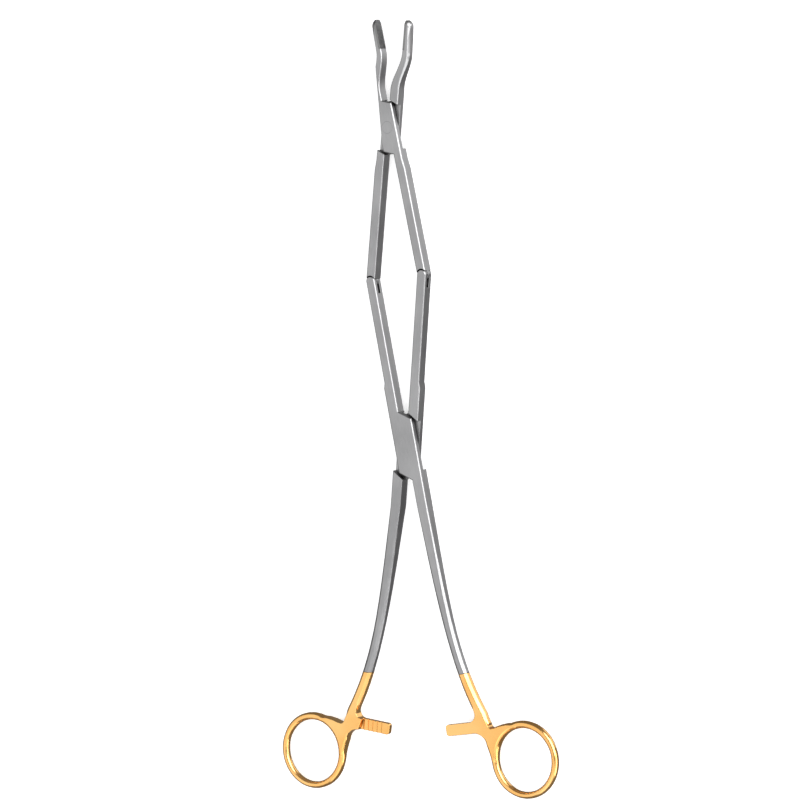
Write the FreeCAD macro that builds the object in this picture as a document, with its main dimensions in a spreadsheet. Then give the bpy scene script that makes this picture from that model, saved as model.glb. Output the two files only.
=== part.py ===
import FreeCAD, Part
import math
import os
import re
import Sketcher
from FreeCAD import Placement, Rotation, Vector

# Double-action needle holder, lying open on its back. Millimetres.
# Two handle levers cross at the rear joint and carry forks at their front ends.
# Two jaw levers cross at the front joint and reach back with tongues into those forks.
# +Y runs along the instrument to the jaws, +Z is up, the rear joint's axis is the origin.

doc = FreeCAD.newDocument("NeedleHolder")
sheet = doc.addObject("Spreadsheet::Sheet", "sizes")

SIZES = [
    # Both pairs of levers are forged and ground to one thickness.
    ("lever_thickness", 4.8),
    ("sliding_gap", 0.06),
    ("edge_chamfer", 0.35),
    # Linkage, measured between joint axes.
    ("left_lower_arm", 60.5),
    ("right_lower_arm", 62.2),
    ("chain_length", 116.2),
    ("closed_half_spread", 2.15),
    ("rest_half_spread", 10.6),
    ("arm_width", 3.5),
    # Rear half-lap joint.
    ("rear_half_width", 4.45),
    ("rear_shoulder", 9.3),
    ("rear_shoulder_rise", 3.0),
    ("rear_ledge", 21.6),
    ("ledge_length", 1.8),
    # Front half-lap joint.
    ("front_half_width", 3.5),
    ("front_shoulder", 8.3),
    ("front_shoulder_rise", 1.5),
    ("front_ledge", 2.0),
    ("front_ledge_length", 4.0),
    ("shoulder_clearance", 0.15),
    # Middle joints: a tongue in a fork.
    ("slot_width", 1.6),
    ("slot_depth", 4.7),
    ("tongue_radius", 1.95),
    ("tongue_play", 0.07),
    ("boss_clearance", 0.25),
    # Rivets, ground flush with both faces.
    ("rear_rivet_radius", 2.0),
    ("front_rivet_radius", 1.7),
    ("middle_rivet_radius", 0.9),
    ("rivet_fit", 0.01),
    ("rivet_play", 0.05),
    ("open_pivot_play", 0.1),
    ("rivet_flare", 0.4),
    ("rivet_flare_depth", 0.6),
    # Handles: from the rear joint to the finger rings.
    ("handle_root", 22.0),
    ("handle_root_gap", 0.35),
    ("handle_length", 77.0),
    ("handle_lean", 3.6),
    ("handle_bow", 6.95),
    ("handle_skew", 2.7),
    ("handle_width", 3.6),
    ("handle_thickness", 4.1),
    ("handle_chamfer", 1.1),
    ("handle_end_width", 4.2),
    ("tail_length", 4.2),
    ("tail_lean", 0.85),
    # Finger rings. Places along a handle are measured from the end of its shank.
    ("head_turn", 0.03),
    ("head_pivot", 12.9),
    ("ring_centre_x", 27.9),
    ("ring_centre_y", 18.1),
    ("ring_radius_x", 12.0),
    ("ring_radius_y", 12.75),
    ("ring_end_radius", 11.3),
    ("ring_band", 2.5),
    ("ring_depth", 3.3),
    # Flat web between shank, ratchet bar and ring: its corners and rounded corners.
    ("web_sink", 0.05),
    ("web_start_x", 10.6),
    ("web_start_y", -2.5),
    ("web_end_x", 12.9),
    ("neck_x", 10.9),
    ("neck_y", -0.8),
    ("neck_radius", 2.7),
    ("step_top_x", 8.4),
    ("step_foot_x", 9.4),
    ("palm_x", 14.0),
    ("palm_y", 11.2),
    ("palm_radius", 4.5),
    ("web_lip", 0.6),
    ("brow_x", 23.6),
    ("brow_y", 4.55),
    ("brow_radius", 30),
    ("crook_end_x", 17.4),
    ("crook_end_y", 5.5),
    ("crook_x", 15.6),
    ("crook_y", 4.0),
    ("crook_radius", 1.4),
    # Ratchet bars.
    ("left_ratchet_overlap", 2.4),
    ("right_ratchet_overlap", 1.5),
    ("ratchet_line", 2.6),
    ("ratchet_height", 4.2),
    ("ratchet_root", 11.0),
    ("ratchet_tip_radius", 1.1),
    ("ratchet_pitch", 1.85),
    ("ratchet_notches", 5),
    ("ratchet_notch_depth", 0.45),
    ("ratchet_plain_tip", 3.2),
    ("ratchet_steep_share", 0.15),
    ("ratchet_slope_share", 0.8),
    # Jaws, set over to one side by an S-bend.
    ("jaw_root", 11.0),
    ("bend_start", 13.5),
    ("bend_end", 27.0),
    ("jaw_offset", 3.5),
    ("jaw_length", 38.9),
    ("jaw_gap", 0.1),
    ("jaw_width", 2.65),
    ("jaw_tip_width", 2.3),
    ("jaw_thickness", 4.2),
    ("jaw_back_chamfer", 0.6),
    ("jaw_back_chamfer_depth", 1.4),
    ("jaw_tip_cut", 1.1),
    # Carbide inserts, brazed into the jaws.
    ("insert_length", 10.9),
    ("insert_thickness", 0.9),
    ("insert_lead", 0.3),
    # How far a cut runs past the metal it takes away.
    ("overcut", 1.0),
]
for row, (alias, number) in enumerate(SIZES, start=1):
    sheet.set("A%d" % row, alias)
    sheet.set("B%d" % row, str(number))
    sheet.setAlias("B%d" % row, alias)
doc.recompute()


NAMES = "|".join(alias for alias, number in SIZES)


def at(formula):
    """Writes a formula on the sheet's names in the form that expressions read."""
    return re.sub(r"\b(%s)\b" % NAMES, r"sizes.\1", formula)


LEFT = -1
RIGHT = 1
MID = "lever_thickness / 2"
# Two places nearer than this are the same place.
TOUCHING = 0.01


def value(formula):
    """The number that a formula on the sheet's names gives."""
    return float(sheet.evalExpression(at(formula)))


def bind(thing, path, formula):
    thing.setExpression(path, at(formula))


def plane(body, role):
    for feature in body.Origin.OriginFeatures:
        if feature.Role == role:
            return feature
    raise ValueError(role)


def new_body(name):
    body = doc.addObject("PartDesign::Body", name)
    body.Label = name
    return body


def new_sketch(body, name, role, offset):
    sketch = body.newObject("Sketcher::SketchObject", name)
    sketch.AttachmentSupport = [(plane(body, role), "")]
    sketch.MapMode = "FlatFace"
    bind(sketch, "AttachmentOffset.Base.z", offset)
    return sketch


def hold(sketch, kind, geometry, point, formula):
    """Fixes one coordinate of a sketch point to a formula."""
    number = sketch.addConstraint(Sketcher.Constraint(kind, -1, 1, geometry, point, value(formula)))
    bind(sketch, "Constraints[%d]" % number, formula)


def add_arc(sketch, start, end, turn, radius):
    """The shorter arc between two spots; turn is 1 where it runs anticlockwise."""
    chord = end - start
    height = math.sqrt(radius ** 2 - chord.Length ** 2 / 4)
    leftward = Vector(-chord.y, chord.x, 0).normalize()
    centre = (start + end) / 2 + leftward * (turn * height)
    first, last = (start, end) if turn == 1 else (end, start)
    first_angle = math.atan2(first.y - centre.y, first.x - centre.x)
    last_angle = math.atan2(last.y - centre.y, last.x - centre.x)
    round_whole = Part.Circle(centre, Vector(0, 0, 1), radius)
    sketch.addGeometry(Part.ArcOfCircle(round_whole, first_angle, last_angle), False)
    return (1, 2) if turn == 1 else (2, 1)


def polygon(body, name, role, offset, corners):
    """A closed outline whose corners are pairs of formulas.

    Two more items, a turn and a radius, make the side after that corner an arc."""
    sketch = new_sketch(body, name, role, offset)
    spots = [Vector(value(corner[0]), value(corner[1]), 0) for corner in corners]
    count = len(spots)
    ends = []
    for index, corner in enumerate(corners):
        start = spots[index]
        end = spots[(index + 1) % count]
        if len(corner) == 4:
            ends.append(add_arc(sketch, start, end, corner[2], value(corner[3])))
        else:
            sketch.addGeometry(Part.LineSegment(start, end), False)
            ends.append((1, 2))
    for index in range(count):
        after = (index + 1) % count
        joint = Sketcher.Constraint("Coincident", index, ends[index][1], after, ends[after][0])
        sketch.addConstraint(joint)
    for index, corner in enumerate(corners):
        hold(sketch, "DistanceX", index, ends[index][0], corner[0])
        hold(sketch, "DistanceY", index, ends[index][0], corner[1])
        if len(corner) == 4:
            number = sketch.addConstraint(Sketcher.Constraint("Radius", index, value(corner[3])))
            bind(sketch, "Constraints[%d]" % number, corner[3])
    return sketch


def circle(body, name, offset, across, along, radius):
    sketch = new_sketch(body, name, "XY_Plane", offset)
    centre = Vector(value(across), value(along), 0)
    sketch.addGeometry(Part.Circle(centre, Vector(0, 0, 1), value(radius)), False)
    hold(sketch, "DistanceX", 0, 3, across)
    hold(sketch, "DistanceY", 0, 3, along)
    number = sketch.addConstraint(Sketcher.Constraint("Radius", 0, value(radius)))
    bind(sketch, "Constraints[%d]" % number, radius)
    return sketch


def pad(body, name, sketch, length):
    feature = body.newObject("PartDesign::Pad", name)
    feature.Profile = sketch
    bind(feature, "Length", length)
    feature.Refine = True
    sketch.Visibility = False
    return feature


def pocket(body, name, sketch, length, upward):
    """Cuts from the sketch's plane: upward along its normal, or down against it."""
    before = body.Shape.Volume
    feature = body.newObject("PartDesign::Pocket", name)
    feature.Profile = sketch
    bind(feature, "Length", length)
    feature.Reversed = upward
    doc.recompute()
    if body.Shape.Volume >= before:
        raise ValueError(name + " removed nothing")
    return feature


def loft(body, name, sections, ruled):
    feature = body.newObject("PartDesign::AdditiveLoft", name)
    feature.Profile = sections[0]
    feature.Sections = sections[1:]
    feature.Ruled = ruled
    doc.recompute()
    return feature


def break_edges(body, name, feature, size, skip):
    """Chamfers the outline of a plate on both faces, but not where skip(edge) is true."""
    doc.recompute()
    thickness = value("lever_thickness")
    names = []
    for number, edge in enumerate(feature.Shape.Edges, start=1):
        box = edge.BoundBox
        on_face = box.ZLength < TOUCHING and min(abs(box.ZMin), abs(box.ZMin - thickness)) < TOUCHING
        if on_face and not skip(edge):
            names.append("Edge%d" % number)
    chamfer = body.newObject("PartDesign::Chamfer", name)
    chamfer.Base = (feature, names)
    bind(chamfer, "Size", size)
    doc.recompute()
    return chamfer


def bar_section(body, name, distance, inner, outer, thickness, inner_chamfer, outer_chamfer, depth):
    """An eight-sided section across the instrument, between two x places.

    inner and outer are its two sides; depth is how far the outer chamfer runs down the side."""
    up = "%s + ( %s ) / 2" % (MID, thickness)
    down = "%s - ( %s ) / 2" % (MID, thickness)
    side = 1 if value(outer) > value(inner) else -1
    corners = [
        ("%s + %d * ( %s )" % (inner, side, inner_chamfer), up),
        ("%s - %d * ( %s )" % (outer, side, outer_chamfer), up),
        (outer, "%s - ( %s )" % (up, depth)),
        (outer, "%s + ( %s )" % (down, depth)),
        ("%s - %d * ( %s )" % (outer, side, outer_chamfer), down),
        ("%s + %d * ( %s )" % (inner, side, inner_chamfer), down),
        (inner, "%s + ( %s )" % (down, inner_chamfer)),
        (inner, "%s - ( %s )" % (up, inner_chamfer)),
    ]
    return polygon(body, name, "XZ_Plane", distance, corners)


def lap_recess(body, half_width, shoulder, rise, slant, keeps_front):
    """Takes half the thickness away where the other lever of the pair passes.

    slant is the side on which the recess rises towards the jaws."""
    reach = "%s + 3 * overcut" % half_width
    climb = "( %s ) / ( %s )" % (rise, half_width)
    high = "%s + %s + shoulder_clearance" % (shoulder, rise)
    turn = "( %s ) * ( %s ) * %d" % (climb, reach, slant)
    corners = [
        ("0 - ( %s )" % reach, "%s - %s" % (high, turn)),
        ("0 - ( %s )" % reach, "0 - ( %s ) - %s" % (high, turn)),
        (reach, "0 - ( %s ) + %s" % (high, turn)),
        (reach, "%s + %s" % (high, turn)),
    ]
    step = "sliding_gap / 2" if keeps_front else "0 - sliding_gap / 2"
    sketch = polygon(body, "lap_outline", "XY_Plane", "%s + %s" % (MID, step), corners)
    pocket(body, "lap", sketch, "lever_thickness", not keeps_front)


def rivet_bore(body, name, across, along, radius, play):
    """A bore right through, widened at both faces for the rivet's flared ends."""
    hole = "%s + %s" % (radius, play)
    sketch = circle(body, name + "_circle", "0", across, along, hole)
    pocket(body, name, sketch, "2 * lever_thickness", True)
    flares = (("_under", "0", True), ("_over", "lever_thickness - rivet_flare_depth", False))
    for ending, height, wide_first in flares:
        cone = body.newObject("PartDesign::SubtractiveCone", name + ending)
        cone.AttachmentSupport = [(plane(body, "XY_Plane"), "")]
        cone.MapMode = "FlatFace"
        bind(cone, "AttachmentOffset.Base.x", across)
        bind(cone, "AttachmentOffset.Base.y", along)
        bind(cone, "AttachmentOffset.Base.z", height)
        bind(cone, "Radius1", hole + (" + rivet_flare" if wide_first else ""))
        bind(cone, "Radius2", hole + ("" if wide_first else " + rivet_flare"))
        bind(cone, "Height", "rivet_flare_depth")
        doc.recompute()


def lower_arm(side):
    return "left_lower_arm" if side == LEFT else "right_lower_arm"


def upper_arm(side):
    return "( chain_length - %s )" % lower_arm(side)


def reach_along(arm):
    """How far a middle joint lies from its lap joint along the closed instrument."""
    return "sqrt( ( %s ) ^ 2 - closed_half_spread ^ 2 )" % arm


# Distance between the two lap joints as the instrument lies open.
SPAN = (
    "( sqrt( left_lower_arm ^ 2 - rest_half_spread ^ 2 )"
    " + sqrt( ( chain_length - left_lower_arm ) ^ 2 - rest_half_spread ^ 2 ) )"
)


def opened(near, far):
    """Degrees that an arm of length near has swung out from the closed instrument."""
    cosine = "( ( %s ) ^ 2 + %s ^ 2 - ( %s ) ^ 2 ) / ( 2 * ( %s ) * %s )" % (near, SPAN, far, near, SPAN)
    return "acos( %s ) - asin( closed_half_spread / ( %s ) )" % (cosine, near)


def swing(body, along, angle):
    """Turns a finished lever about its lap joint into the open position."""
    any_turn = 5
    body.Placement = Placement(Vector(0, 0, 0), Rotation(Vector(0, 0, 1), any_turn))
    bind(body, "Placement.Base.y", along)
    bind(body, "Placement.Rotation.Angle", angle)


def handle_blank(body, arm_side):
    """Plate from the handle's root over the rear joint to the fork's round end."""
    handle_side = -arm_side
    crest = "rear_shoulder + rear_shoulder_rise"
    slope = "rear_shoulder_rise / rear_half_width"
    gap = "closed_half_spread - arm_width / 2"
    arm_top = reach_along(lower_arm(arm_side))
    arm_outer = "closed_half_spread + arm_width / 2"

    def x(side, formula):
        return "%d * ( %s )" % (side, formula)

    corners = [
        (x(handle_side, "handle_root_gap"), "0 - handle_root"),
        (x(handle_side, "handle_root_gap"), "0 - ( %s ) - %s * handle_root_gap" % (crest, slope)),
        (x(arm_side, "rear_half_width"), "0 - rear_shoulder"),
        (x(arm_side, "rear_half_width"), "rear_ledge"),
        (x(arm_side, arm_outer), "rear_ledge + ledge_length"),
        (x(arm_side, arm_outer), arm_top),
        (x(arm_side, gap), arm_top),
        (x(arm_side, gap), "%s + %s * ( %s )" % (crest, slope, gap)),
        (x(handle_side, "rear_half_width"), "rear_shoulder"),
        (x(handle_side, "rear_half_width"), "0 - handle_root"),
    ]
    pad(body, "plate", polygon(body, "plate_outline", "XY_Plane", "0", corners), "lever_thickness")
    boss = circle(body, "boss_circle", "0", x(arm_side, "closed_half_spread"), arm_top, "arm_width / 2")
    boss_pad = pad(body, "boss", boss, "lever_thickness")
    root = value("0 - handle_root")
    break_edges(body, "plate_edges", boss_pad, "edge_chamfer",
                lambda edge: abs(edge.BoundBox.YMax - root) < TOUCHING)


def shank_section(body, name, handle_side, distance, middle, width, thickness, chamfer):
    """Eight-sided section of the shank, middle being its middle line's x."""
    inner = "%s - %d * ( %s ) / 2" % (middle, handle_side, width)
    outer = "%s + %d * ( %s ) / 2" % (middle, handle_side, width)
    return bar_section(body, name, distance, inner, outer, thickness, chamfer, chamfer, chamfer)


def handle_shank(body, handle_side):
    """Bar from the rear joint to the ring: rectangular at first, then eight-sided."""
    stations = 6
    grown = 0.6
    widening = 0.75
    bow_power = 4
    root_middle = "( handle_root_gap + rear_half_width ) / 2"
    root_width = "( rear_half_width - handle_root_gap )"
    sections = []
    for step in range(stations + 1):
        share = step / stations
        early = min(1.0, share / grown)
        late = max(0.0, (share - widening) / (1 - widening))
        bulge = share ** bow_power
        middle = "%d * ( %s + handle_lean * %.4f + handle_bow * %.4f ) - handle_skew * %.4f" % (
            handle_side, root_middle, share, bulge, share)
        width = "%s * %.4f + handle_width * %.4f + ( handle_end_width - handle_width ) * %.4f" % (
            root_width, 1 - early, early, late)
        thickness = "lever_thickness * %.4f + handle_thickness * %.4f" % (1 - early, early)
        chamfer = "edge_chamfer * %.4f + handle_chamfer * %.4f" % (1 - early, early)
        distance = "handle_root + handle_length * %.4f" % share
        sections.append(shank_section(body, "shank_%d" % step, handle_side, distance, middle,
                                      width, thickness, chamfer))
    loft(body, "shank", sections, False)
    end_middle = "%d * ( %s + handle_lean + handle_bow ) - handle_skew" % (handle_side, root_middle)
    tail_middle = "%s + %d * tail_lean" % (end_middle, handle_side)
    tail = []
    for ending, distance, middle in (("start", "handle_root + handle_length", end_middle),
                                     ("end", "handle_root + handle_length + tail_length", tail_middle)):
        tail.append(shank_section(body, "tail_" + ending, handle_side, distance, middle,
                                  "handle_end_width", "handle_thickness", "handle_chamfer"))
    loft(body, "tail", tail, True)


def at_head(handle_side, across, along):
    """A place on the ring, web or ratchet bar.

    across starts at the closed centre line and along at the end of the shank, on which the
    whole head is turned a little."""
    beside = "( %s - head_pivot )" % across
    x = "%d * ( %s ) - handle_skew - head_turn * ( %s )" % (handle_side, across, along)
    y = "0 - ( handle_root + handle_length + %s ) - %d * head_turn * %s" % (along, handle_side, beside)
    return x, y


# The ring's middle line is an oval of four arcs: flatter ones at its sides, rounder ones at its ends.
END_SHIFT = "( ring_radius_y - ring_end_radius )"
SIDE_RADIUS = (
    "( ( ring_radius_x ^ 2 + %s ^ 2 - ring_end_radius ^ 2 )"
    " / ( 2 * ( ring_radius_x - ring_end_radius ) ) )" % END_SHIFT
)
SIDE_SHIFT = "( %s - ring_radius_x )" % SIDE_RADIUS
HALF_SIDE_ANGLE = "( atan( %s / %s ) )" % (END_SHIFT, SIDE_SHIFT)


def ring_arc(body, name, role, offset, axis, radius, facing, angle):
    """One arc of the ring: a band section turned about an upright axis, half the angle each way."""
    flat = "( ring_depth - ring_band ) / 2"
    inner = "%d * ( %s - ring_band / 2 )" % (facing, radius)
    outer = "%d * ( %s + ring_band / 2 )" % (facing, radius)
    middle = "%d * ( %s )" % (facing, radius)
    corners = [
        (inner, "%s - %s" % (MID, flat)),
        (inner, "%s + %s" % (MID, flat), -facing, "ring_band / 2"),
        (middle, "%s + ring_depth / 2" % MID, -facing, "ring_band / 2"),
        (outer, "%s + %s" % (MID, flat)),
        (outer, "%s - %s" % (MID, flat), -facing, "ring_band / 2"),
        (middle, "%s - ring_depth / 2" % MID, -facing, "ring_band / 2"),
    ]
    section = polygon(body, name + "_section", role, offset, corners)
    bind(section, "AttachmentOffset.Base.x", axis)
    turned = body.newObject("PartDesign::Revolution", name)
    turned.Profile = section
    turned.ReferenceAxis = (section, ["V_Axis"])
    turned.Midplane = True
    bind(turned, "Angle", angle)
    doc.recompute()


def finger_ring(body, handle_side):
    """Oval ring with a rounded band, and the flat web that joins it to the shank."""
    centre_x, centre_y = at_head(handle_side, "ring_centre_x", "ring_centre_y")
    for name, facing in (("ring_top", 1), ("ring_bottom", -1)):
        ring_arc(body, name, "YZ_Plane", centre_x, "%s + %d * %s" % (centre_y, facing, END_SHIFT),
                 "ring_end_radius", facing, "180 deg - 2 * %s" % HALF_SIDE_ANGLE)
    for name, facing in (("ring_right", 1), ("ring_left", -1)):
        ring_arc(body, name, "XZ_Plane", "0 - ( %s )" % centre_y,
                 "%s - %d * %s" % (centre_x, facing, SIDE_SHIFT),
                 SIDE_RADIUS, facing, "2 * %s" % HALF_SIDE_ANGLE)

    def corner(across, along, *arc):
        return at_head(handle_side, across, along) + arc

    def on_ring(degrees, *arc):
        angle = math.radians(degrees)
        across = "ring_centre_x - ( ring_radius_x - web_lip ) * %.4f" % math.cos(angle)
        along = "ring_centre_y - ( ring_radius_y - web_lip ) * %.4f" % math.sin(angle)
        return corner(across, along, *arc)

    inward = -handle_side
    outward = handle_side
    web_foot, web_middle, web_top = 6, 45, 84
    corners = [
        corner("web_start_x", "web_start_y"),
        corner("neck_x", "neck_y", inward, "neck_radius"),
        corner("step_top_x", "ratchet_line"),
        corner("step_foot_x", "ratchet_line + ratchet_height", inward, "palm_radius"),
        corner("palm_x", "palm_y"),
        corner("ring_centre_x - ring_radius_x - web_lip", "ring_centre_y - web_lip"),
        on_ring(web_foot, inward, "ring_radius_y"),
        on_ring(web_middle, inward, "ring_radius_x - web_lip"),
        on_ring(web_top),
        corner("brow_x", "brow_y", outward, "brow_radius"),
        corner("crook_end_x", "crook_end_y", inward, "crook_radius"),
        corner("crook_x", "crook_y"),
        corner("web_end_x", "web_start_y"),
    ]
    under = "%s - handle_thickness / 2 + web_sink" % MID
    outline = polygon(body, "web_outline", "XY_Plane", under, corners)
    pad(body, "web", outline, "handle_thickness - 2 * web_sink")
    doc.recompute()


def ratchet_bar(body, handle_side, in_front):
    """Half-thickness bar across the instrument, notched on the face that meets the other bar."""
    overlap = "right_ratchet_overlap" if handle_side == RIGHT else "left_ratchet_overlap"
    foot = "( ratchet_line + ratchet_height )"
    corners = [
        at_head(handle_side, "ratchet_root", "ratchet_line"),
        at_head(handle_side, "0 - %s" % overlap, "ratchet_line"),
        at_head(handle_side, "0 - %s" % overlap, foot),
        at_head(handle_side, "ratchet_root", foot),
    ]
    near = "%s + sliding_gap / 2" % MID if in_front else "%s - handle_thickness / 2 + web_sink" % MID
    outline = polygon(body, "ratchet_outline", "XY_Plane", near, corners)
    bar = pad(body, "ratchet", outline, "( handle_thickness - sliding_gap ) / 2 - web_sink")
    doc.recompute()
    tip = value(corners[1][0])
    slant = 0.5
    names = []
    for number, edge in enumerate(bar.Shape.Edges, start=1):
        box = edge.BoundBox
        upright = box.XLength < TOUCHING and box.YLength < TOUCHING
        if upright and abs(box.XMin - tip) < slant:
            names.append("Edge%d" % number)
    fillet = body.newObject("PartDesign::Fillet", "ratchet_tip")
    fillet.Base = (bar, names)
    bind(fillet, "Radius", "ratchet_tip_radius")
    doc.recompute()

    face = "%s + sliding_gap / 2" % MID if in_front else "%s - sliding_gap / 2" % MID
    into = "ratchet_notch_depth" if in_front else "0 - ratchet_notch_depth"
    for notch in range(int(value("ratchet_notches"))):
        start = "ratchet_plain_tip - %s + ratchet_pitch * %d" % (overlap, notch)
        groove = []
        for share, height in (("0", face), ("ratchet_steep_share", "%s + %s" % (face, into)),
                              ("ratchet_slope_share", face)):
            place = at_head(handle_side, "%s + ratchet_pitch * %s" % (start, share), "ratchet_line")
            groove.append((place[0], height))
        sketch = polygon(body, "notch_%d_outline" % notch, "XZ_Plane",
                         "handle_root + handle_length + ratchet_line - overcut", groove)
        pocket(body, "notch_%d" % notch, sketch, "ratchet_height + 2 * overcut", True)


def fork_slot(body, arm_side):
    """Slot in the round end of a handle lever for the jaw lever's tongue."""
    top = reach_along(lower_arm(arm_side))
    corners = [
        ("%s - slot_depth" % top, "%s - slot_width / 2" % MID),
        ("%s + arm_width" % top, "%s - slot_width / 2" % MID),
        ("%s + arm_width" % top, "%s + slot_width / 2" % MID),
        ("%s - slot_depth" % top, "%s + slot_width / 2" % MID),
    ]
    near = "( closed_half_spread - arm_width ) * %d" % arm_side
    far = "( closed_half_spread + arm_width ) * %d" % arm_side
    start = near if arm_side == RIGHT else far
    sketch = polygon(body, "slot_outline", "YZ_Plane", start, corners)
    pocket(body, "slot", sketch, "2 * arm_width", True)


def handle_lever(name, arm_side, in_front, middle_fit):
    """One forging: fork, arm, half of the rear joint, shank, ring and ratchet bar."""
    body = new_body(name)
    handle_blank(body, arm_side)
    handle_shank(body, -arm_side)
    finger_ring(body, -arm_side)
    ratchet_bar(body, -arm_side, in_front)
    slant = 1 if arm_side == LEFT else -1
    lap_recess(body, "rear_half_width", "rear_shoulder", "rear_shoulder_rise", slant, in_front)
    fork_slot(body, arm_side)
    rear_fit = "rivet_fit" if in_front else "rivet_play"
    rivet_bore(body, "rear_bore", "0", "0", "rear_rivet_radius", rear_fit)
    rivet_bore(body, "middle_bore", "%d * closed_half_spread" % arm_side,
               reach_along(lower_arm(arm_side)), "middle_rivet_radius", middle_fit)
    swing(body, "0", "%d * ( %s )" % (-arm_side, opened(lower_arm(arm_side), upper_arm(arm_side))))
    return body


def jaw_blank(body, arm_side):
    """Plate from the tongue's shoulder over the front joint to the jaw's root."""
    jaw_side = -arm_side
    crest = "front_shoulder + front_shoulder_rise"
    slope = "front_shoulder_rise / front_half_width"
    gap = "closed_half_spread - arm_width / 2"
    arm_outer = "closed_half_spread + arm_width / 2"
    arm_end = "0 - ( %s )" % reach_along(upper_arm(arm_side))

    def x(side, formula):
        return "%d * ( %s )" % (side, formula)

    corners = [
        (x(arm_side, gap), arm_end),
        (x(arm_side, gap), "0 - ( %s ) - %s * ( %s )" % (crest, slope, gap)),
        (x(jaw_side, "front_half_width"), "0 - front_shoulder"),
        (x(jaw_side, "front_half_width"), "jaw_root"),
        (x(jaw_side, "jaw_gap / 2"), "jaw_root"),
        (x(jaw_side, "jaw_gap / 2"), "%s - %s * jaw_gap / 2" % (crest, slope)),
        (x(arm_side, "front_half_width"), "front_shoulder"),
        (x(arm_side, "front_half_width"), "0 - ( %s ) - front_ledge" % crest),
        (x(arm_side, arm_outer), "0 - ( %s ) - front_ledge - front_ledge_length" % crest),
        (x(arm_side, arm_outer), arm_end),
    ]
    plate = pad(body, "plate", polygon(body, "plate_outline", "XY_Plane", "0", corners), "lever_thickness")
    root = value("jaw_root")
    end = value(arm_end)

    def at_an_end(edge):
        box = edge.BoundBox
        return abs(box.YMin - root) < TOUCHING or abs(box.YMax - end) < TOUCHING

    break_edges(body, "plate_edges", plate, "edge_chamfer", at_an_end)


def jaw_section(body, name, jaw_side, distance, middle, width, thickness, chamfer, depth):
    """Section of a jaw whose gripping side lies beside the line at middle."""
    inner = "%s + %d * jaw_gap / 2" % (middle, jaw_side)
    outer = "%s + %d * ( %s )" % (middle, jaw_side, width)
    return bar_section(body, name, "0 - ( %s )" % distance, inner, outer, thickness,
                       "edge_chamfer", chamfer, depth)


def jaw_bar(body, jaw_side):
    """The jaw: a straight root, an S-bend over to the right, then a straight part to the tip."""
    root = []
    for name, distance in (("root", "jaw_root"), ("root_end", "bend_start")):
        root.append(jaw_section(body, name, jaw_side, distance, "0", "front_half_width",
                                "lever_thickness", "edge_chamfer", "edge_chamfer"))
    loft(body, "jaw_root_bar", root, True)
    stations = 5
    bend = []
    for step in range(stations + 1):
        share = step / stations
        shift = share * share * (3 - 2 * share)
        mix = "%s * " + "%.4f" % (1 - share) + " + %s * " + "%.4f" % share
        bend.append(jaw_section(body, "bend_%d" % step, jaw_side,
                                mix % ("bend_start", "bend_end"),
                                "jaw_offset * %.4f" % shift,
                                mix % ("front_half_width", "jaw_width"),
                                mix % ("lever_thickness", "jaw_thickness"),
                                mix % ("edge_chamfer", "jaw_back_chamfer"),
                                mix % ("edge_chamfer", "jaw_back_chamfer_depth")))
    loft(body, "bend", bend, False)
    straight = []
    for name, distance, width in (("straight_start", "bend_end", "jaw_width"),
                                  ("straight_tip", "jaw_length", "jaw_tip_width")):
        straight.append(jaw_section(body, name, jaw_side, distance, "jaw_offset", width,
                                    "jaw_thickness", "jaw_back_chamfer", "jaw_back_chamfer_depth"))
    loft(body, "straight", straight, True)


def from_grip(jaw_side, formula):
    """The x of a place behind the line that the jaws meet on."""
    return "jaw_offset + %d * ( %s )" % (jaw_side, formula)


def tip_cut(body, jaw_side):
    """Slants the end of the jaw back from the insert to its outer side."""
    outside = "( jaw_tip_width + overcut )"
    slope = "jaw_tip_cut / ( jaw_tip_width - insert_thickness )"
    corners = [
        (from_grip(jaw_side, "insert_thickness"), "jaw_length"),
        (from_grip(jaw_side, outside), "jaw_length - %s * ( %s - insert_thickness )" % (slope, outside)),
        (from_grip(jaw_side, outside), "jaw_length + overcut"),
        (from_grip(jaw_side, "insert_thickness"), "jaw_length + overcut"),
    ]
    sketch = polygon(body, "tip_cut_outline", "XY_Plane", "0", corners)
    pocket(body, "tip_cut", sketch, "lever_thickness", True)


def insert_seat(body, jaw_side):
    """Step in the gripping side of the jaw that the carbide insert is brazed into."""
    corners = [
        (from_grip(jaw_side, "0 - overcut"), "jaw_length - insert_length"),
        (from_grip(jaw_side, "insert_thickness"), "jaw_length - insert_length"),
        (from_grip(jaw_side, "insert_thickness"), "jaw_length + overcut"),
        (from_grip(jaw_side, "0 - overcut"), "jaw_length + overcut"),
    ]
    sketch = polygon(body, "seat_outline", "XY_Plane", "0", corners)
    pocket(body, "seat", sketch, "lever_thickness", True)


def tongue(body, arm_side):
    """Thin round end that turns in the fork, behind shoulders that follow the fork's round end."""
    across = "%d * closed_half_spread" % arm_side
    along = "0 - ( %s )" % reach_along(upper_arm(arm_side))
    half = "( slot_width / 2 - tongue_play )"
    disc = circle(body, "tongue_circle", "%s - %s" % (MID, half), across, along, "tongue_radius")
    pad(body, "tongue", disc, "2 * %s" % half)
    doc.recompute()
    clear = "arm_width / 2 + boss_clearance"
    over = circle(body, "over_circle", "%s + %s" % (MID, half), across, along, clear)
    pocket(body, "over", over, "lever_thickness", True)
    under = circle(body, "under_circle", "%s - %s" % (MID, half), across, along, clear)
    pocket(body, "under", under, "lever_thickness", False)


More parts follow.
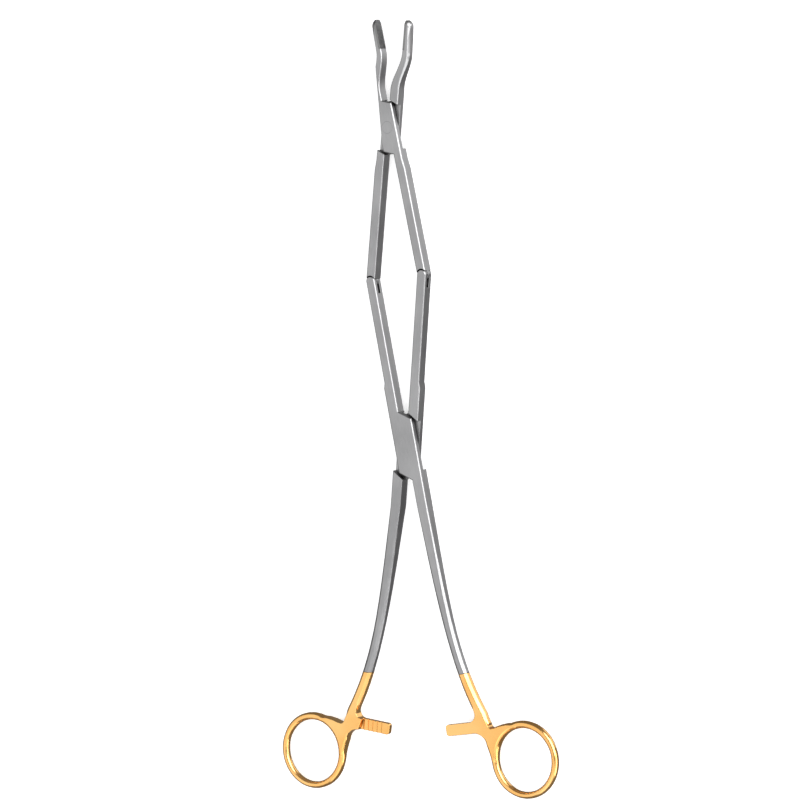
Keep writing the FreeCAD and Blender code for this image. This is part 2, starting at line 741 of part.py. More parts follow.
def jaw_lever(name, arm_side, in_front, middle_fit):
    """One forging: tongue, arm, half of the front joint and a jaw."""
    body = new_body(name)
    jaw_side = -arm_side
    jaw_blank(body, arm_side)
    jaw_bar(body, jaw_side)
    insert_seat(body, jaw_side)
    tip_cut(body, jaw_side)
    slant = 1 if arm_side == RIGHT else -1
    lap_recess(body, "front_half_width", "front_shoulder", "front_shoulder_rise", slant, in_front)
    tongue(body, arm_side)
    front_fit = "rivet_play" if in_front else "rivet_fit"
    rivet_bore(body, "front_bore", "0", "0", "front_rivet_radius", front_fit)
    across = "%d * closed_half_spread" % arm_side
    along = "0 - ( %s )" % reach_along(upper_arm(arm_side))
    hole = circle(body, "middle_bore_circle", "0", across, along, "middle_rivet_radius + %s" % middle_fit)
    pocket(body, "middle_bore", hole, "2 * lever_thickness", True)
    swing(body, SPAN, "%d * ( %s )" % (arm_side, opened(upper_arm(arm_side), lower_arm(arm_side))))
    return body


def jaw_insert(name, arm_side):
    """Carbide plate on the gripping side of a jaw, as long as its seat."""
    body = new_body(name)
    jaw_side = -arm_side
    corners = [
        (from_grip(jaw_side, "jaw_gap / 2"), "jaw_length - insert_length"),
        (from_grip(jaw_side, "insert_thickness"), "jaw_length - insert_length"),
        (from_grip(jaw_side, "insert_thickness"), "jaw_length"),
        (from_grip(jaw_side, "jaw_gap / 2 + insert_lead"), "jaw_length"),
        (from_grip(jaw_side, "jaw_gap / 2"), "jaw_length - insert_lead"),
    ]
    under = "%s - jaw_thickness / 2" % MID
    pad(body, "plate", polygon(body, "plate_outline", "XY_Plane", under, corners), "jaw_thickness")
    swing(body, SPAN, "%d * ( %s )" % (arm_side, opened(upper_arm(arm_side), lower_arm(arm_side))))
    return body


def rivet(name, radius):
    """A pin with both ends flared into the levers and ground flush."""
    body = new_body(name)
    sketch = circle(body, "pin_circle", "0", "0", "0", radius)
    pad(body, "pin", sketch, "lever_thickness")
    for ending, height, wide_first in (("under", "0", True),
                                       ("over", "lever_thickness - rivet_flare_depth", False)):
        cone = body.newObject("PartDesign::AdditiveCone", ending)
        cone.AttachmentSupport = [(plane(body, "XY_Plane"), "")]
        cone.MapMode = "FlatFace"
        bind(cone, "AttachmentOffset.Base.z", height)
        bind(cone, "Radius1", radius + (" + rivet_flare" if wide_first else ""))
        bind(cone, "Radius2", radius + ("" if wide_first else " + rivet_flare"))
        bind(cone, "Height", "rivet_flare_depth")
        doc.recompute()
    return body


def middle_place(side):
    """Where a middle joint lies on the open instrument."""
    near = lower_arm(side)
    far = upper_arm(side)
    along = "( ( %s ) ^ 2 + %s ^ 2 - ( %s ) ^ 2 ) / ( 2 * %s )" % (near, SPAN, far, SPAN)
    across = "%d * sqrt( ( %s ) ^ 2 - ( %s ) ^ 2 )" % (side, near, along)
    return across, along


parts = [
    handle_lever("handle_lever_right", LEFT, True, "rivet_fit"),
    handle_lever("handle_lever_left", RIGHT, False, "rivet_fit"),
    jaw_lever("jaw_lever_left", RIGHT, True, "open_pivot_play"),
    jaw_lever("jaw_lever_right", LEFT, False, "rivet_play"),
    jaw_insert("jaw_insert_left", RIGHT),
    jaw_insert("jaw_insert_right", LEFT),
]
rear = rivet("rear_rivet", "rear_rivet_radius")
front = rivet("front_rivet", "front_rivet_radius")
bind(front, "Placement.Base.y", SPAN)
parts += [rear, front]
for word, side in (("left", LEFT), ("right", RIGHT)):
    pin = rivet("middle_rivet_" + word, "middle_rivet_radius")
    across, along = middle_place(side)
    bind(pin, "Placement.Base.x", across)
    bind(pin, "Placement.Base.y", along)
    parts.append(pin)

doc.recompute()
for thing in doc.Objects:
    if "Invalid" in thing.State or "Error" in thing.State:
        raise ValueError("%s failed: %s" % (thing.Name, thing.State))
for part in parts:
    if part.Shape.isNull() or not part.Shape.isValid():
        raise ValueError(part.Label + " has no valid shape")
    if len(part.Shape.Solids) != 1:
        raise ValueError(part.Label + " isn't one solid")

os.makedirs("parts", exist_ok=True)
for part in parts:
    part.Shape.exportStep(os.path.join("parts", part.Label + ".step"))
    box = part.Shape.BoundBox
    print("%-20s %8.1f mm3  y %.1f to %.1f" % (part.Label, part.Shape.Volume, box.YMin, box.YMax))
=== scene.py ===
import bmesh
import bpy
import math
from mathutils import Matrix, Vector


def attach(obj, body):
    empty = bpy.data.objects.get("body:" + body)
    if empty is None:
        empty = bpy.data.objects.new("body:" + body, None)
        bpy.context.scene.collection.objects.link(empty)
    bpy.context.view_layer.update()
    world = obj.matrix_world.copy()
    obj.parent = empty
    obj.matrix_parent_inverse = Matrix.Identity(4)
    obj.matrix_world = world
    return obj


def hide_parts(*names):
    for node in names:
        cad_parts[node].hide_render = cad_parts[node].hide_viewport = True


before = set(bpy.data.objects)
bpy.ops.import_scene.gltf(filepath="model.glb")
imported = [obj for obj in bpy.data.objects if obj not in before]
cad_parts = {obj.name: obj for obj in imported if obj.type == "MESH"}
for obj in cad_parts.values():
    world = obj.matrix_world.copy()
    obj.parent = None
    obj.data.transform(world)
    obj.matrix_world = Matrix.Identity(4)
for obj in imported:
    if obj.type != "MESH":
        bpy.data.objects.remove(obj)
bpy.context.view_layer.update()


# Right handle lever: one forging of stainless steel with its fork, half of the rear joint,
# shank, ratchet bar and finger ring. It is ground and satin finished all over, and its last
# part, from just above the ratchet bar down, is gold plated. It turns on the rear rivet.
MM = 0.001
REAR_PIVOT = Vector((0, 0, 0))
FRONT_PIVOT = Vector((0, 114.246, 0)) * MM
LEFT_PIVOT = Vector((-10.6, 59.564, 0)) * MM
RIGHT_PIVOT = Vector((10.582, 61.293, 0)) * MM
# Around each rivet the ground face stays flat, so that no groove shows there.
RIVET_SPOTS = (
    (REAR_PIVOT, 2.7 * MM),
    (FRONT_PIVOT, 2.4 * MM),
    (LEFT_PIVOT, 1.5 * MM),
    (RIGHT_PIVOT, 1.5 * MM),
)


def near_a_rivet(edge):
    for pivot, reach in RIVET_SPOTS:
        if all((corner.co.xy - pivot.xy).length < reach for corner in edge.verts):
            return True
    return False


# Corners closer than this are one, and faces turned by less than this are one flat face.
MERGE_REACH = 0.002 * MM
FLAT_WITHIN = math.radians(0.6)
CUT_REACH = 0.0005 * MM


def as_forged(node_name):
    """The CAD solid's shape, merged, with flat faces made whole again."""
    shape = bmesh.new()
    shape.from_mesh(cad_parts[node_name].data)
    bmesh.ops.remove_doubles(shape, verts=shape.verts, dist=MERGE_REACH)
    bmesh.ops.dissolve_limit(shape, angle_limit=FLAT_WITHIN, verts=shape.verts,
                             edges=shape.edges)
    return shape


def cut_off(shape, place, beyond):
    """Takes off what lies beyond a plane and closes the cut."""
    cut = bmesh.ops.bisect_plane(shape, geom=shape.verts[:] + shape.edges[:] + shape.faces[:],
                                 dist=CUT_REACH, plane_co=place, plane_no=beyond,
                                 clear_outer=True)["geom_cut"]
    rim = [item for item in cut if isinstance(item, bmesh.types.BMEdge) and item.is_boundary]
    bmesh.ops.holes_fill(shape, edges=rim)


# Edges sharper than this angle are rounded, by the greater width on the shanks.
SHARP = math.radians(24)
EASED = 0.09 * MM
EASED_SHANK = 0.30 * MM
SHANK_START = -26 * MM


def mark_worn_edges(shape, softer_below=None):
    """Marks the sharp edges; those below a line across the lever are rounded the most."""
    weight = shape.edges.layers.float.new("bevel_weight_edge")
    for edge in shape.edges:
        edge.smooth = edge.calc_face_angle(0.0) < SHARP
        worn = not edge.smooth and not near_a_rivet(edge) and edge.calc_length() > EASED
        highest = max(corner.co.y for corner in edge.verts)
        soft = softer_below is not None and highest < softer_below
        edge[weight] = 0.0 if not worn else 1.0 if soft else EASED / EASED_SHANK
    for face in shape.faces:
        face.smooth = True


def new_piece(name, shape):
    mesh = bpy.data.meshes.new(name)
    shape.to_mesh(mesh)
    shape.free()
    piece = bpy.data.objects.new(name, mesh)
    bpy.context.scene.collection.objects.link(piece)
    return piece


def ease_edges(piece):
    """Rounds the marked edges as a polishing wheel does, and keeps flat faces flat."""
    rounding = piece.modifiers.new("eased_edges", "BEVEL")
    rounding.limit_method = "WEIGHT"
    rounding.width = EASED_SHANK
    rounding.segments = 3
    rounding.use_clamp_overlap = False
    joining = piece.modifiers.new("no_slivers", "WELD")
    joining.merge_threshold = MERGE_REACH
    splitting = piece.modifiers.new("even_triangles", "TRIANGULATE")
    splitting.quad_method = "BEAUTY"
    splitting.ngon_method = "BEAUTY"
    evening = piece.modifiers.new("flat_faces", "WEIGHTED_NORMAL")
    evening.keep_sharp = True


def polish(shape, corners, strokes):
    """Evens a surface out; each stroke takes its corners halfway to their neighbours."""
    for stroke in range(strokes):
        bmesh.ops.smooth_vert(shape, verts=corners, factor=0.5, use_axis_x=True,
                              use_axis_y=True, use_axis_z=True)


def fades(value, low, high):
    """1 below the low value, 0 above the high one, smooth between."""
    share = min(max((high - value) / (high - low), 0.0), 1.0)
    return share * share * (3 - 2 * share)


# Half sizes of the ring: its middle line, across and along, and its band, across and deep.
RING_OVAL = Vector((12.0, 12.74)) * MM
BAND_HALF = Vector((1.25, 1.65)) * MM
# Distances from the ring's middle between which the band lies with room to spare.
BAND_INSIDE = 9.5 * MM
BAND_OUTSIDE = 15.2 * MM
# Where the web starts round the ring, as the cosine of the angle from the shank's side, and
# where the inner side of the band ends, as the cosine of the place round the band.
WEB_START = (0.34, 0.53)
INNER_SIDE = (-0.7, -0.2)


def turn_ring_true(shape, ring_centre, to_shank):
    """Brings the band to one even oval, except where the web covers it."""
    for corner in shape.verts:
        away = corner.co - ring_centre
        if not BAND_INSIDE < away.xy.length < BAND_OUTSIDE:
            continue
        # Three steps lead to the nearest place on the ring's middle line.
        place = math.atan2(away.y / RING_OVAL.y, away.x / RING_OVAL.x)
        for step in range(3):
            middle = Vector((RING_OVAL.x * math.cos(place), RING_OVAL.y * math.sin(place)))
            run = Vector((-RING_OVAL.x * math.sin(place), RING_OVAL.y * math.cos(place)))
            place += (away.xy - middle).dot(run) / run.length_squared
        outward = Vector((run.y, -run.x)).normalized()
        across = (away.xy - middle).dot(outward)
        about = math.atan2(away.z / BAND_HALF.y, across / BAND_HALF.x)
        seen_above = middle + outward * (BAND_HALF.x * math.cos(about))
        height = BAND_HALF.y * math.sin(about)
        target = ring_centre + Vector((seen_above.x, seen_above.y, height))
        off_web = fades(away.xy.normalized().dot(to_shank), *WEB_START)
        inside = fades(math.cos(about), *INNER_SIDE)
        corner.co += (target - corner.co) * max(off_web, inside)


HEAD_GRAIN = 0.145 * MM
# Areas that the wheel works, from wide to narrow: the reach from the ring's middle, and the
# place towards the shank from which on it works.
WHEEL_REACH = 17.4 * MM
WHEEL_AREAS = (
    (WHEEL_REACH, -7 * MM),
    (16.2 * MM, -5 * MM),
    (15.0 * MM, -3 * MM),
)
# Each spell at the wheel thins the metal by about this much. It gets that back from between
# two places towards the shank, out to between two distances from the ring's middle.
THINNED = 0.045 * MM
GAIN_START = (-6 * MM, -1 * MM)
GAIN_END = (14.6 * MM, WHEEL_REACH)


def blended_head(shape, name, ring_centre, gold_place, upward_along, on_bar):
    """The handle's gold end with ring, web and shank run into each other by polishing."""
    piece = new_piece(name, shape)
    skin = piece.modifiers.new("even_skin", "REMESH")
    skin.mode = "VOXEL"
    skin.voxel_size = HEAD_GRAIN
    shown = piece.evaluated_get(bpy.context.evaluated_depsgraph_get())
    head = bmesh.new()
    head.from_mesh(shown.to_mesh())
    bpy.data.objects.remove(piece)
    to_shank = (gold_place - ring_centre).xy.normalized()

    def within(reach, lowest=-math.inf):
        """Corners within a reach of the ring's middle, from a place towards the shank on."""
        found = []
        for corner in head.verts:
            away = corner.co.xy - ring_centre.xy
            if away.length < reach and away.dot(to_shank) > lowest:
                found.append(corner)
        return found

    # The bar is polished the least, so that its notches stay crisp.
    polish(head, head.verts, 4)
    polish(head, [corner for corner in head.verts if not on_bar(corner.co)], 8)
    turn_ring_true(head, ring_centre, to_shank)
    # The wheel works longest where ring and web meet, on the side towards the shank.
    for spell in range(4):
        for reach, lowest in WHEEL_AREAS:
            polish(head, within(reach, lowest), 8)
        # The strokes thin the metal there, so it gets its thickness back.
        head.normal_update()
        for corner in head.verts:
            away = corner.co.xy - ring_centre.xy
            share = 1 - fades(away.dot(to_shank), *GAIN_START)
            share *= fades(away.length, *GAIN_END)
            corner.co += corner.normal * (THINNED * share)
    polish(head, within(WHEEL_REACH), 5)
    cut_off(head, gold_place, upward_along)
    return head


# The gold end is polished with this much of the shank above it, which is then cut away.
SPARE = 2 * MM


def handle(node_name, piece_name, turn, gold_line, ring_centre, side, bar_root):
    """A handle lever: its steel part as ground, and its gold end as polished."""
    upward_along = Vector((-math.sin(turn), math.cos(turn), 0))
    across = Vector((math.cos(turn), math.sin(turn), 0))
    gold_place = upward_along * gold_line
    steel = as_forged(node_name)
    cut_off(steel, gold_place, -upward_along)
    mark_worn_edges(steel, SHANK_START)

    def on_bar(place):
        return side * place.dot(across) < side * bar_root

    end = as_forged(node_name)
    cut_off(end, gold_place + upward_along * SPARE, upward_along)
    end = blended_head(end, piece_name + "_end", ring_centre, gold_place, upward_along, on_bar)
    for face in end.faces:
        face.smooth = True
    end_mesh = bpy.data.meshes.new(piece_name + "_end")
    end.to_mesh(end_mesh)
    end.free()
    steel.from_mesh(end_mesh)
    bpy.data.meshes.remove(end_mesh)
    piece = new_piece(piece_name, steel)
    ease_edges(piece)
    return piece


class Reading:
    """A number read off the surface; sums and products with it add Math nodes."""

    def __init__(self, finish, socket):
        self.finish = finish
        self.socket = socket

    def worked(self, operation, first, second):
        return self.finish.node("ShaderNodeMath", {"operation": operation}, {0: first, 1: second})

    def __add__(self, other):
        return self.worked("ADD", self, other)

    def __sub__(self, other):
        return self.worked("SUBTRACT", self, other)

    def __rsub__(self, other):
        return self.worked("SUBTRACT", other, self)

    def __mul__(self, other):
        return self.worked("MULTIPLY", self, other)

    __radd__ = __add__
    __rmul__ = __mul__


# The share of open room round a face at which it counts as half hidden and gets half of the painted
# shade.
HALF_HIDDEN = 0.56


class Finish:
    """One surface finish, drawn on the piece's own place in metres."""

    def __init__(self, name):
        self.material = bpy.data.materials.new(name)
        self.material.use_nodes = True
        self.tree = self.material.node_tree
        self.tree.nodes.clear()
        self.place = self.node("ShaderNodeTexCoord", output="Object")

    def node(self, kind, settings=None, sockets=None, output=0):
        """Adds a node with its settings, and the values or readings of its sockets."""
        made = self.tree.nodes.new(kind)
        for name, setting in (settings or {}).items():
            setattr(made, name, setting)
        for name, given in (sockets or {}).items():
            if isinstance(given, Reading):
                self.tree.links.new(given.socket, made.inputs[name])
            else:
                made.inputs[name].default_value = given
        return None if output is None else Reading(self, made.outputs[output])

    def mapped(self, where, change, amounts):
        return self.node("ShaderNodeMapping", {"vector_type": "POINT"},
                         {"Vector": where, change: amounts})

    def along(self, turn, stretch):
        """The piece's place, turned by an angle and stretched along each axis."""
        turned = self.mapped(self.place, "Rotation", (0, 0, turn))
        return self.mapped(turned, "Scale", stretch)

    def cloud(self, where, scale, detail=2.0, roughness=0.5):
        """Soft noise from 0 to 1."""
        return self.node("ShaderNodeTexNoise", None,
                         {"Vector": where, "Scale": scale, "Detail": detail, "Roughness": roughness})

    def eased_step(self, reading, low, high):
        return self.node("ShaderNodeMapRange", {"interpolation_type": "SMOOTHSTEP"},
                         {"Value": reading, "From Min": low, "From Max": high,
                          "To Min": 0.0, "To Max": 1.0})

    def mixed(self, share, first, second):
        """A colour between two; sockets 6 and 7 and output 2 are the node's colour ones."""
        return self.node("ShaderNodeMix", {"data_type": "RGBA"}, {0: share, 6: first, 7: second}, 2)

    def open_face(self, reach, softness):
        """1 on open faces, falling to 0 in slots and corners; the finishes paint shade where it is
        low.
        """
        seen = self.node("ShaderNodeAmbientOcclusion", {"samples": 6}, {"Distance": reach}, "AO")
        return self.eased_step(seen, HALF_HIDDEN - softness, HALF_HIDDEN + softness)

    def relief(self, height, strength, depth):
        return self.node("ShaderNodeBump", None,
                         {"Strength": strength, "Distance": depth, "Height": height}, "Normal")

    def surface(self, sockets):
        """Ends the finish in its shader."""
        skin = self.node("ShaderNodeBsdfPrincipled", None, sockets)
        self.node("ShaderNodeOutputMaterial", None, {"Surface": skin}, None)
        return self.material


SATIN_LIGHT = (0.405, 0.405, 0.41, 1)
SATIN_DEEP = (0.30, 0.30, 0.305, 1)
# Painted shade: the near black that the steel is darkened to in slots and corners.
CREVICE_SHADE = (0.02, 0.018, 0.016, 1)
# How strongly the grain shows, and how deep it is.
GRAIN = (0.25, 0.012 * MM)


def ground_steel(finish, turn):
    """Colour, roughness and height of satin steel whose grain runs along a lever; the colour has
    painted shade in slots and corners.
    """
    broad = finish.cloud(finish.place, 55.0, 3.0)
    grain = finish.cloud(finish.along(-turn, (5200.0, 260.0, 5200.0)), 1.0, 3.0, 0.6)
    scratches = finish.cloud(finish.along(-turn, (2600.0, 60.0, 2600.0)), 1.0, 2.0)
    pits = finish.cloud(finish.place, 5200.0, 1.0)
    tone = finish.eased_step(broad * 0.6 + grain * 0.4, 0.3, 0.7)
    # Painted shade: slots, corners and gaps between pieces darken to near black.
    colour = finish.mixed(finish.open_face(1.8 * MM, 0.24), CREVICE_SHADE,
                          finish.mixed(tone, SATIN_DEEP, SATIN_LIGHT))
    roughness = 0.30 + broad * 0.08 + grain * 0.06
    height = grain * 0.5 + scratches * 0.3 + pits * 0.2
    return colour, roughness, height


GOLD_LIGHT = (1.0, 0.60, 0.225, 1)
GOLD_DEEP = (0.93, 0.50, 0.155, 1)
# Painted shade: the dark brown that the gold is darkened to in slots and corners.
GOLD_CREVICE_SHADE = (0.22, 0.085, 0.012, 1)
# How far the plating's edge wanders, and how far it fades each way.
EDGE_WANDER = 0.35 * MM
EDGE_FADE = 0.12 * MM


def plated_end(name, turn, gold_line):
    """Satin steel that changes to bright gold plating below a line across the handle; both have
    painted shade in their corners.
    """
    finish = Finish(name)
    steel_colour, steel_roughness, steel_height = ground_steel(finish, turn)
    unturned = finish.mapped(finish.place, "Rotation", (0, 0, -turn))
    down = finish.node("ShaderNodeSeparateXYZ", None, {"Vector": unturned}, "Y")
    wander = finish.cloud(finish.place, 900.0, 2.0)
    edge = down + (wander - 0.5) * EDGE_WANDER
    plating = 1 - finish.eased_step(edge, gold_line - EDGE_FADE, gold_line + EDGE_FADE)
    patches = finish.cloud(finish.place, 70.0, 3.0)
    gold = finish.mixed(finish.eased_step(patches, 0.3, 0.7), GOLD_DEEP, GOLD_LIGHT)
    # Painted shade: the gold darkens to dark brown in slots, corners and gaps between pieces.
    gold = finish.mixed(finish.open_face(1.6 * MM, 0.3), GOLD_CREVICE_SHADE, gold)
    ripple = finish.cloud(finish.place, 420.0, 2.0)
    gold_roughness = 0.15 + patches * 0.08
    height = steel_height * (1 - plating * 0.6) + ripple * plating * 0.8
    return finish.surface({
        "Base Color": finish.mixed(plating, steel_colour, gold),
        "Metallic": 1.0,
        "Roughness": steel_roughness * (1 - plating) + gold_roughness * plating,
        "Normal": finish.relief(height, *GRAIN),
    })


# How far the lever is swung open, where the plating starts along the closed lever, where
# the ratchet bar starts across it, and the ring's middle.
RIGHT_HANDLE_TURN = math.radians(8.054)
RIGHT_GOLD_LINE = -84.0 * MM
RIGHT_BAR_ROOT = 6.1 * MM
RIGHT_RING = Vector((40.88, -112.92, 2.4)) * MM

right_handle = handle("handle_lever_right", "handle_right", RIGHT_HANDLE_TURN,
                      RIGHT_GOLD_LINE, RIGHT_RING, 1, RIGHT_BAR_ROOT)
right_handle.data.materials.append(
    plated_end("steel_and_gold_right", RIGHT_HANDLE_TURN, RIGHT_GOLD_LINE))
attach(right_handle, "right_handle")
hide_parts("handle_lever_right")


# Left handle lever: the right one's partner, forged from the same steel and plated the same
# way. It has the back half of the rear joint and the back one of the two ratchet bars, whose
# notches face up, and turns on the rear rivet.
LEFT_HANDLE_TURN = math.radians(-7.814)
LEFT_GOLD_LINE = -84.3 * MM
LEFT_BAR_ROOT = -11.5 * MM
LEFT_RING = Vector((-46.71, -111.33, 2.4)) * MM

left_handle = handle("handle_lever_left", "handle_left", LEFT_HANDLE_TURN,
                     LEFT_GOLD_LINE, LEFT_RING, -1, LEFT_BAR_ROOT)
left_handle.data.materials.append(
    plated_end("steel_and_gold_left", LEFT_HANDLE_TURN, LEFT_GOLD_LINE))
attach(left_handle, "left_handle")
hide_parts("handle_lever_left")


# Jaw levers: two forgings of the same satin steel, each a thin round tongue in a handle
# lever's fork, an arm, half of the front joint and a jaw set over to the right. They turn on
# the front rivet, and their grain runs along them.
JAW_TURNS = {"right": math.radians(-8.758), "left": math.radians(9.019)}
# How far a jaw reaches past the front rivet, how far it steps sideways, and its mid height.
JAW_REACH = 38.9 * MM
JAW_OFFSET = 3.5 * MM
MIDDLE_HEIGHT = 2.4 * MM
# Half sizes of the egg whose quarter the tip follows: outward, along the jaw, and upward.
TIP_EGG = Vector((2.6, 3.0, 2.25)) * MM
TIP_ROWS = 6
TIP_COLUMNS = 8


def round_the_tip(shape, side):
    """Grinds the end of a jaw to a blunt point that lies on its gripping side."""
    turn = JAW_TURNS[side]
    outward = Vector((math.cos(turn), math.sin(turn), 0))
    along = Vector((-math.sin(turn), math.cos(turn), 0))
    upward = Vector((0, 0, 1))
    centre = (FRONT_PIVOT + outward * JAW_OFFSET + along * (JAW_REACH - TIP_EGG.y)
              + upward * MIDDLE_HEIGHT)
    if side == "left":
        outward = -outward
    for row in range(1, TIP_ROWS + 1):
        lean = math.radians(90 * (row - 0.5) / TIP_ROWS)
        for column in range(TIP_COLUMNS + 1):
            round_about = math.radians(180 * column / TIP_COLUMNS - 90)
            way = Vector((math.sin(lean) * math.cos(round_about), math.cos(lean),
                          math.sin(lean) * math.sin(round_about)))
            spot = (centre + outward * way.x * TIP_EGG.x + along * way.y * TIP_EGG.y
                    + upward * way.z * TIP_EGG.z)
            away = (outward * (way.x / TIP_EGG.x) + along * (way.y / TIP_EGG.y)
                    + upward * (way.z / TIP_EGG.z))
            cut_off(shape, spot, away.normalized())


def satin(name, turn):
    finish = Finish(name)
    colour, roughness, height = ground_steel(finish, turn)
    return finish.surface({
        "Base Color": colour,
        "Metallic": 1.0,
        "Roughness": roughness,
        "Normal": finish.relief(height, *GRAIN),
    })


for side, turn in JAW_TURNS.items():
    blank = as_forged("jaw_lever_" + side)
    round_the_tip(blank, side)
    mark_worn_edges(blank)
    jaw = new_piece("jaw_" + side, blank)
    ease_edges(jaw)
    jaw.data.materials.append(satin("satin_steel_jaw_" + side, turn))
    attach(jaw, side + "_jaw")
    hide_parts("jaw_lever_" + side)


# Jaw inserts: plates of sintered carbide, dull and darker than the steel, brazed into the
# seats at the jaw tips. Their gripping sides are cut crosswise into small pyramids that
# hold a needle.
TOOTH_PITCH = 0.5 * MM
TOOTH_DEPTH = 0.16 * MM
# The plate's two finishes, in the order in which they are given to it.
TOOTHED = 0
GROUND = 1


def toothed_plate(node_name, piece_name, side):
    """The insert with its gripping side built of rows of pyramids, the rest flat."""
    solid = as_forged(node_name)
    upright = [face for face in solid.faces if abs(face.normal.z) < 0.1]
    # The gripping side is the smaller of the two broad ones, because its end has a lead.
    grip, back = sorted(upright, key=lambda face: face.calc_area())[-2:]
    facing = grip.normal.copy()
    upward = Vector((0, 0, 1))
    lengthwise = upward.cross(facing).normalized()
    middle = grip.calc_center_median()
    teeth_feet = middle - facing * TOOTH_DEPTH
    sizes = []
    for direction in (lengthwise, upward):
        places = [(corner.co - middle).dot(direction) for corner in grip.verts]
        sizes.append(max(places) - min(places))
        teeth_feet += direction * (min(places) + max(places)) / 2
    length, height = sizes
    thickness = abs((back.calc_center_median() - middle).dot(facing)) - TOOTH_DEPTH
    solid.free()

    plate = bmesh.new()
    bmesh.ops.create_grid(plate, x_segments=round(length / TOOTH_PITCH),
                          y_segments=round(height / TOOTH_PITCH), size=0.5)
    bmesh.ops.scale(plate, vec=(length, height, 1), verts=plate.verts)
    teeth = list(plate.faces)
    rim = [edge for edge in plate.edges if edge.is_boundary]
    walls = bmesh.ops.extrude_edge_only(plate, edges=rim)["geom"]
    wall_feet = [item for item in walls if isinstance(item, bmesh.types.BMVert)]
    bmesh.ops.translate(plate, vec=(0, 0, -thickness), verts=wall_feet)
    bmesh.ops.holes_fill(plate, edges=[edge for edge in plate.edges if edge.is_boundary])
    for face in plate.faces:
        face.material_index = GROUND
    for face in teeth:
        face.material_index = TOOTHED
    tips = bmesh.ops.poke(plate, faces=teeth, center_mode="MEAN")["verts"]
    bmesh.ops.translate(plate, vec=(0, 0, TOOTH_DEPTH), verts=tips)
    turned = Matrix((lengthwise, upward, facing)).transposed().to_4x4()
    bmesh.ops.transform(plate, matrix=Matrix.Translation(teeth_feet) @ turned, verts=plate.verts)
    bmesh.ops.recalc_face_normals(plate, faces=plate.faces)
    round_the_tip(plate, side)
    return new_piece(piece_name, plate)


def sintered_carbide(name, deep, light):
    finish = Finish(name)
    grit = finish.cloud(finish.place, 9000.0, 2.0)
    blotch = finish.cloud(finish.place, 320.0, 3.0)
    tone = finish.eased_step(blotch * 0.5 + grit * 0.5, 0.3, 0.7)
    return finish.surface({
        "Base Color": finish.mixed(tone, (deep, deep, deep, 1), (light, light, light, 1)),
        "Metallic": 0.85,
        "Roughness": 0.42 + blotch * 0.16,
        "Normal": finish.relief(grit, 0.4, 0.01 * MM),
    })


toothed = sintered_carbide("carbide_teeth", 0.07, 0.14)
ground = sintered_carbide("carbide_ground", 0.20, 0.28)
for side in JAW_TURNS:
    insert = toothed_plate("jaw_insert_" + side, "insert_" + side, side)
    insert.data.materials.append(toothed)
    insert.data.materials.append(ground)
    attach(insert, side + "_jaw")
    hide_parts("jaw_insert_" + side)


# Rivets: four steel pins whose flared ends are ground flush with the levers, so that they
# hardly show. They keep the CAD's shape and get the levers' satin finish, with the fine
# rings that the grinding leaves.
def flush_steel(name, pivot):
    finish = Finish(name)
    colour, roughness, height = ground_steel(finish, 0.0)
    shifted = finish.mapped(finish.place, "Location", (-pivot.x, -pivot.y, 0))
    rings = finish.node("ShaderNodeTexWave", {"wave_type": "RINGS", "rings_direction": "Z"},
                        {"Vector": shifted, "Scale": 900.0, "Distortion": 1.0}, "Fac")
    return finish.surface({
        "Base Color": colour,
        "Metallic": 1.0,
        "Roughness": roughness,
        "Normal": finish.relief(height * 0.8 + rings * 0.2, 0.2, 0.01 * MM),
    })


for node_name, pivot in (("rear_rivet", REAR_PIVOT), ("front_rivet", FRONT_PIVOT),
                         ("middle_rivet_left", LEFT_PIVOT), ("middle_rivet_right", RIGHT_PIVOT)):
    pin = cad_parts[node_name]
    pin.data.materials.clear()
    pin.data.materials.append(flush_steel("steel_" + node_name, pivot))


# Floor: a plain, nearly white sheet under the instrument. The metal doesn't mirror it and it
# throws no shadow, so that the metal's sides see the low card and the dim room below it.
FLOOR_HALF = 4.0


def floor_sheet():
    sheet = bmesh.new()
    bmesh.ops.create_grid(sheet, x_segments=1, y_segments=1, size=FLOOR_HALF)
    piece = new_piece("floor", sheet)
    finish = Finish("white_paper")
    fibres = finish.cloud(finish.place, 40.0, 3.0)
    piece.data.materials.append(finish.surface({
        "Base Color": finish.mixed(fibres, (0.90, 0.90, 0.90, 1), (0.92, 0.92, 0.92, 1)),
        "Roughness": 0.9,
        "Specular IOR Level": 0.0,
        "Emission Color": (1, 1, 1, 1),
        "Emission Strength": 0.55,
    }))
    piece.visible_glossy = False
    piece.visible_shadow = False
    return piece


floor_sheet()


# Light: a wide soft box that the front faces mirror to the camera, two on the right that
# draw white lines along the chamfers, one beyond the rings for the views from behind, a dim
# card below for the side faces, and a dim room.
def soft_box(name, towards, distance, length, height, watts):
    """A lamp that the camera doesn't see, at a distance in metres in some direction."""
    lamp = bpy.data.lights.new(name, "AREA")
    lamp.shape = "RECTANGLE"
    lamp.size = length
    lamp.size_y = height
    lamp.energy = watts
    box = bpy.data.objects.new(name, lamp)
    bpy.context.scene.collection.objects.link(box)
    out = Vector(towards).normalized()
    box.location = out * distance
    box.rotation_euler = out.to_track_quat("Z", "Y").to_euler()
    box.visible_camera = False


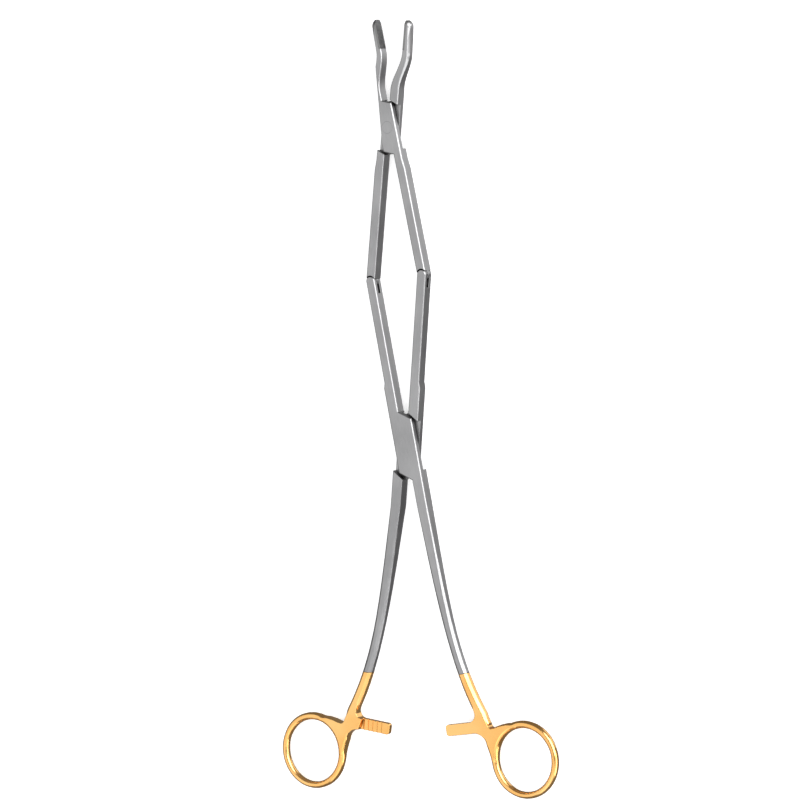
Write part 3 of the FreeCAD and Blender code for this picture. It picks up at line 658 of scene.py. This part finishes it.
soft_box("overhead_box", (-0.42, -0.06, 0.90), 1.1, 2.2, 2.0, 12.0)
soft_box("right_box", (0.86, 0.42, 0.42), 1.0, 0.95, 0.70, 9.5)
soft_box("right_low_box", (0.97, -0.05, -0.06), 1.0, 1.6, 0.60, 9.5)
soft_box("near_box", (0.42, -0.70, 0.58), 1.3, 1.6, 1.2, 6.5)
soft_box("low_card", (0.48, 0.40, -0.80), 0.9, 0.6, 0.6, 1.1)

room = bpy.data.worlds.new("dim_room")
room.use_nodes = True
glow = room.node_tree.nodes["Background"]
glow.inputs["Color"].default_value = (1, 1, 1, 1)
glow.inputs["Strength"].default_value = 0.20
bpy.context.scene.world = room
bpy.context.scene.view_settings.view_transform = "Standard"


# Camera: 30 degrees round to the right of straight above the instrument, from far away, as
# in the photograph, and rolled by about three degrees.
SIDEWAYS = math.radians(30.0)
LIFTED = math.radians(3.2)
ROLL = math.radians(3.2133648)
CAMERA_DISTANCE = 1.5
AIM = Vector((-3.688484, 16.264826, 0)) * MM
PHOTO_WIDTH = 800
MM_PER_PIXEL = 0.36
FRAME_WIDTH = PHOTO_WIDTH * MM_PER_PIXEL * MM
SENSOR = 36.0

backward = Vector((math.sin(SIDEWAYS) * math.cos(LIFTED), math.sin(LIFTED),
                   math.cos(SIDEWAYS) * math.cos(LIFTED)))
level_right = Vector((math.cos(SIDEWAYS), 0, -math.sin(SIDEWAYS)))
level_up = backward.cross(level_right)
rightward = level_right * math.cos(ROLL) - level_up * math.sin(ROLL)
upward = level_right * math.sin(ROLL) + level_up * math.cos(ROLL)
lens = bpy.data.cameras.new("camera")
lens.sensor_fit = "HORIZONTAL"
lens.sensor_width = SENSOR
lens.lens = SENSOR * CAMERA_DISTANCE / FRAME_WIDTH
lens.clip_start = 0.01
lens.clip_end = 20
camera = bpy.data.objects.new("camera", lens)
bpy.context.scene.collection.objects.link(camera)
pose = Matrix((rightward, upward, backward)).transposed().to_4x4()
camera.matrix_world = Matrix.Translation(AIM + backward * CAMERA_DISTANCE) @ pose
bpy.context.scene.camera = camera
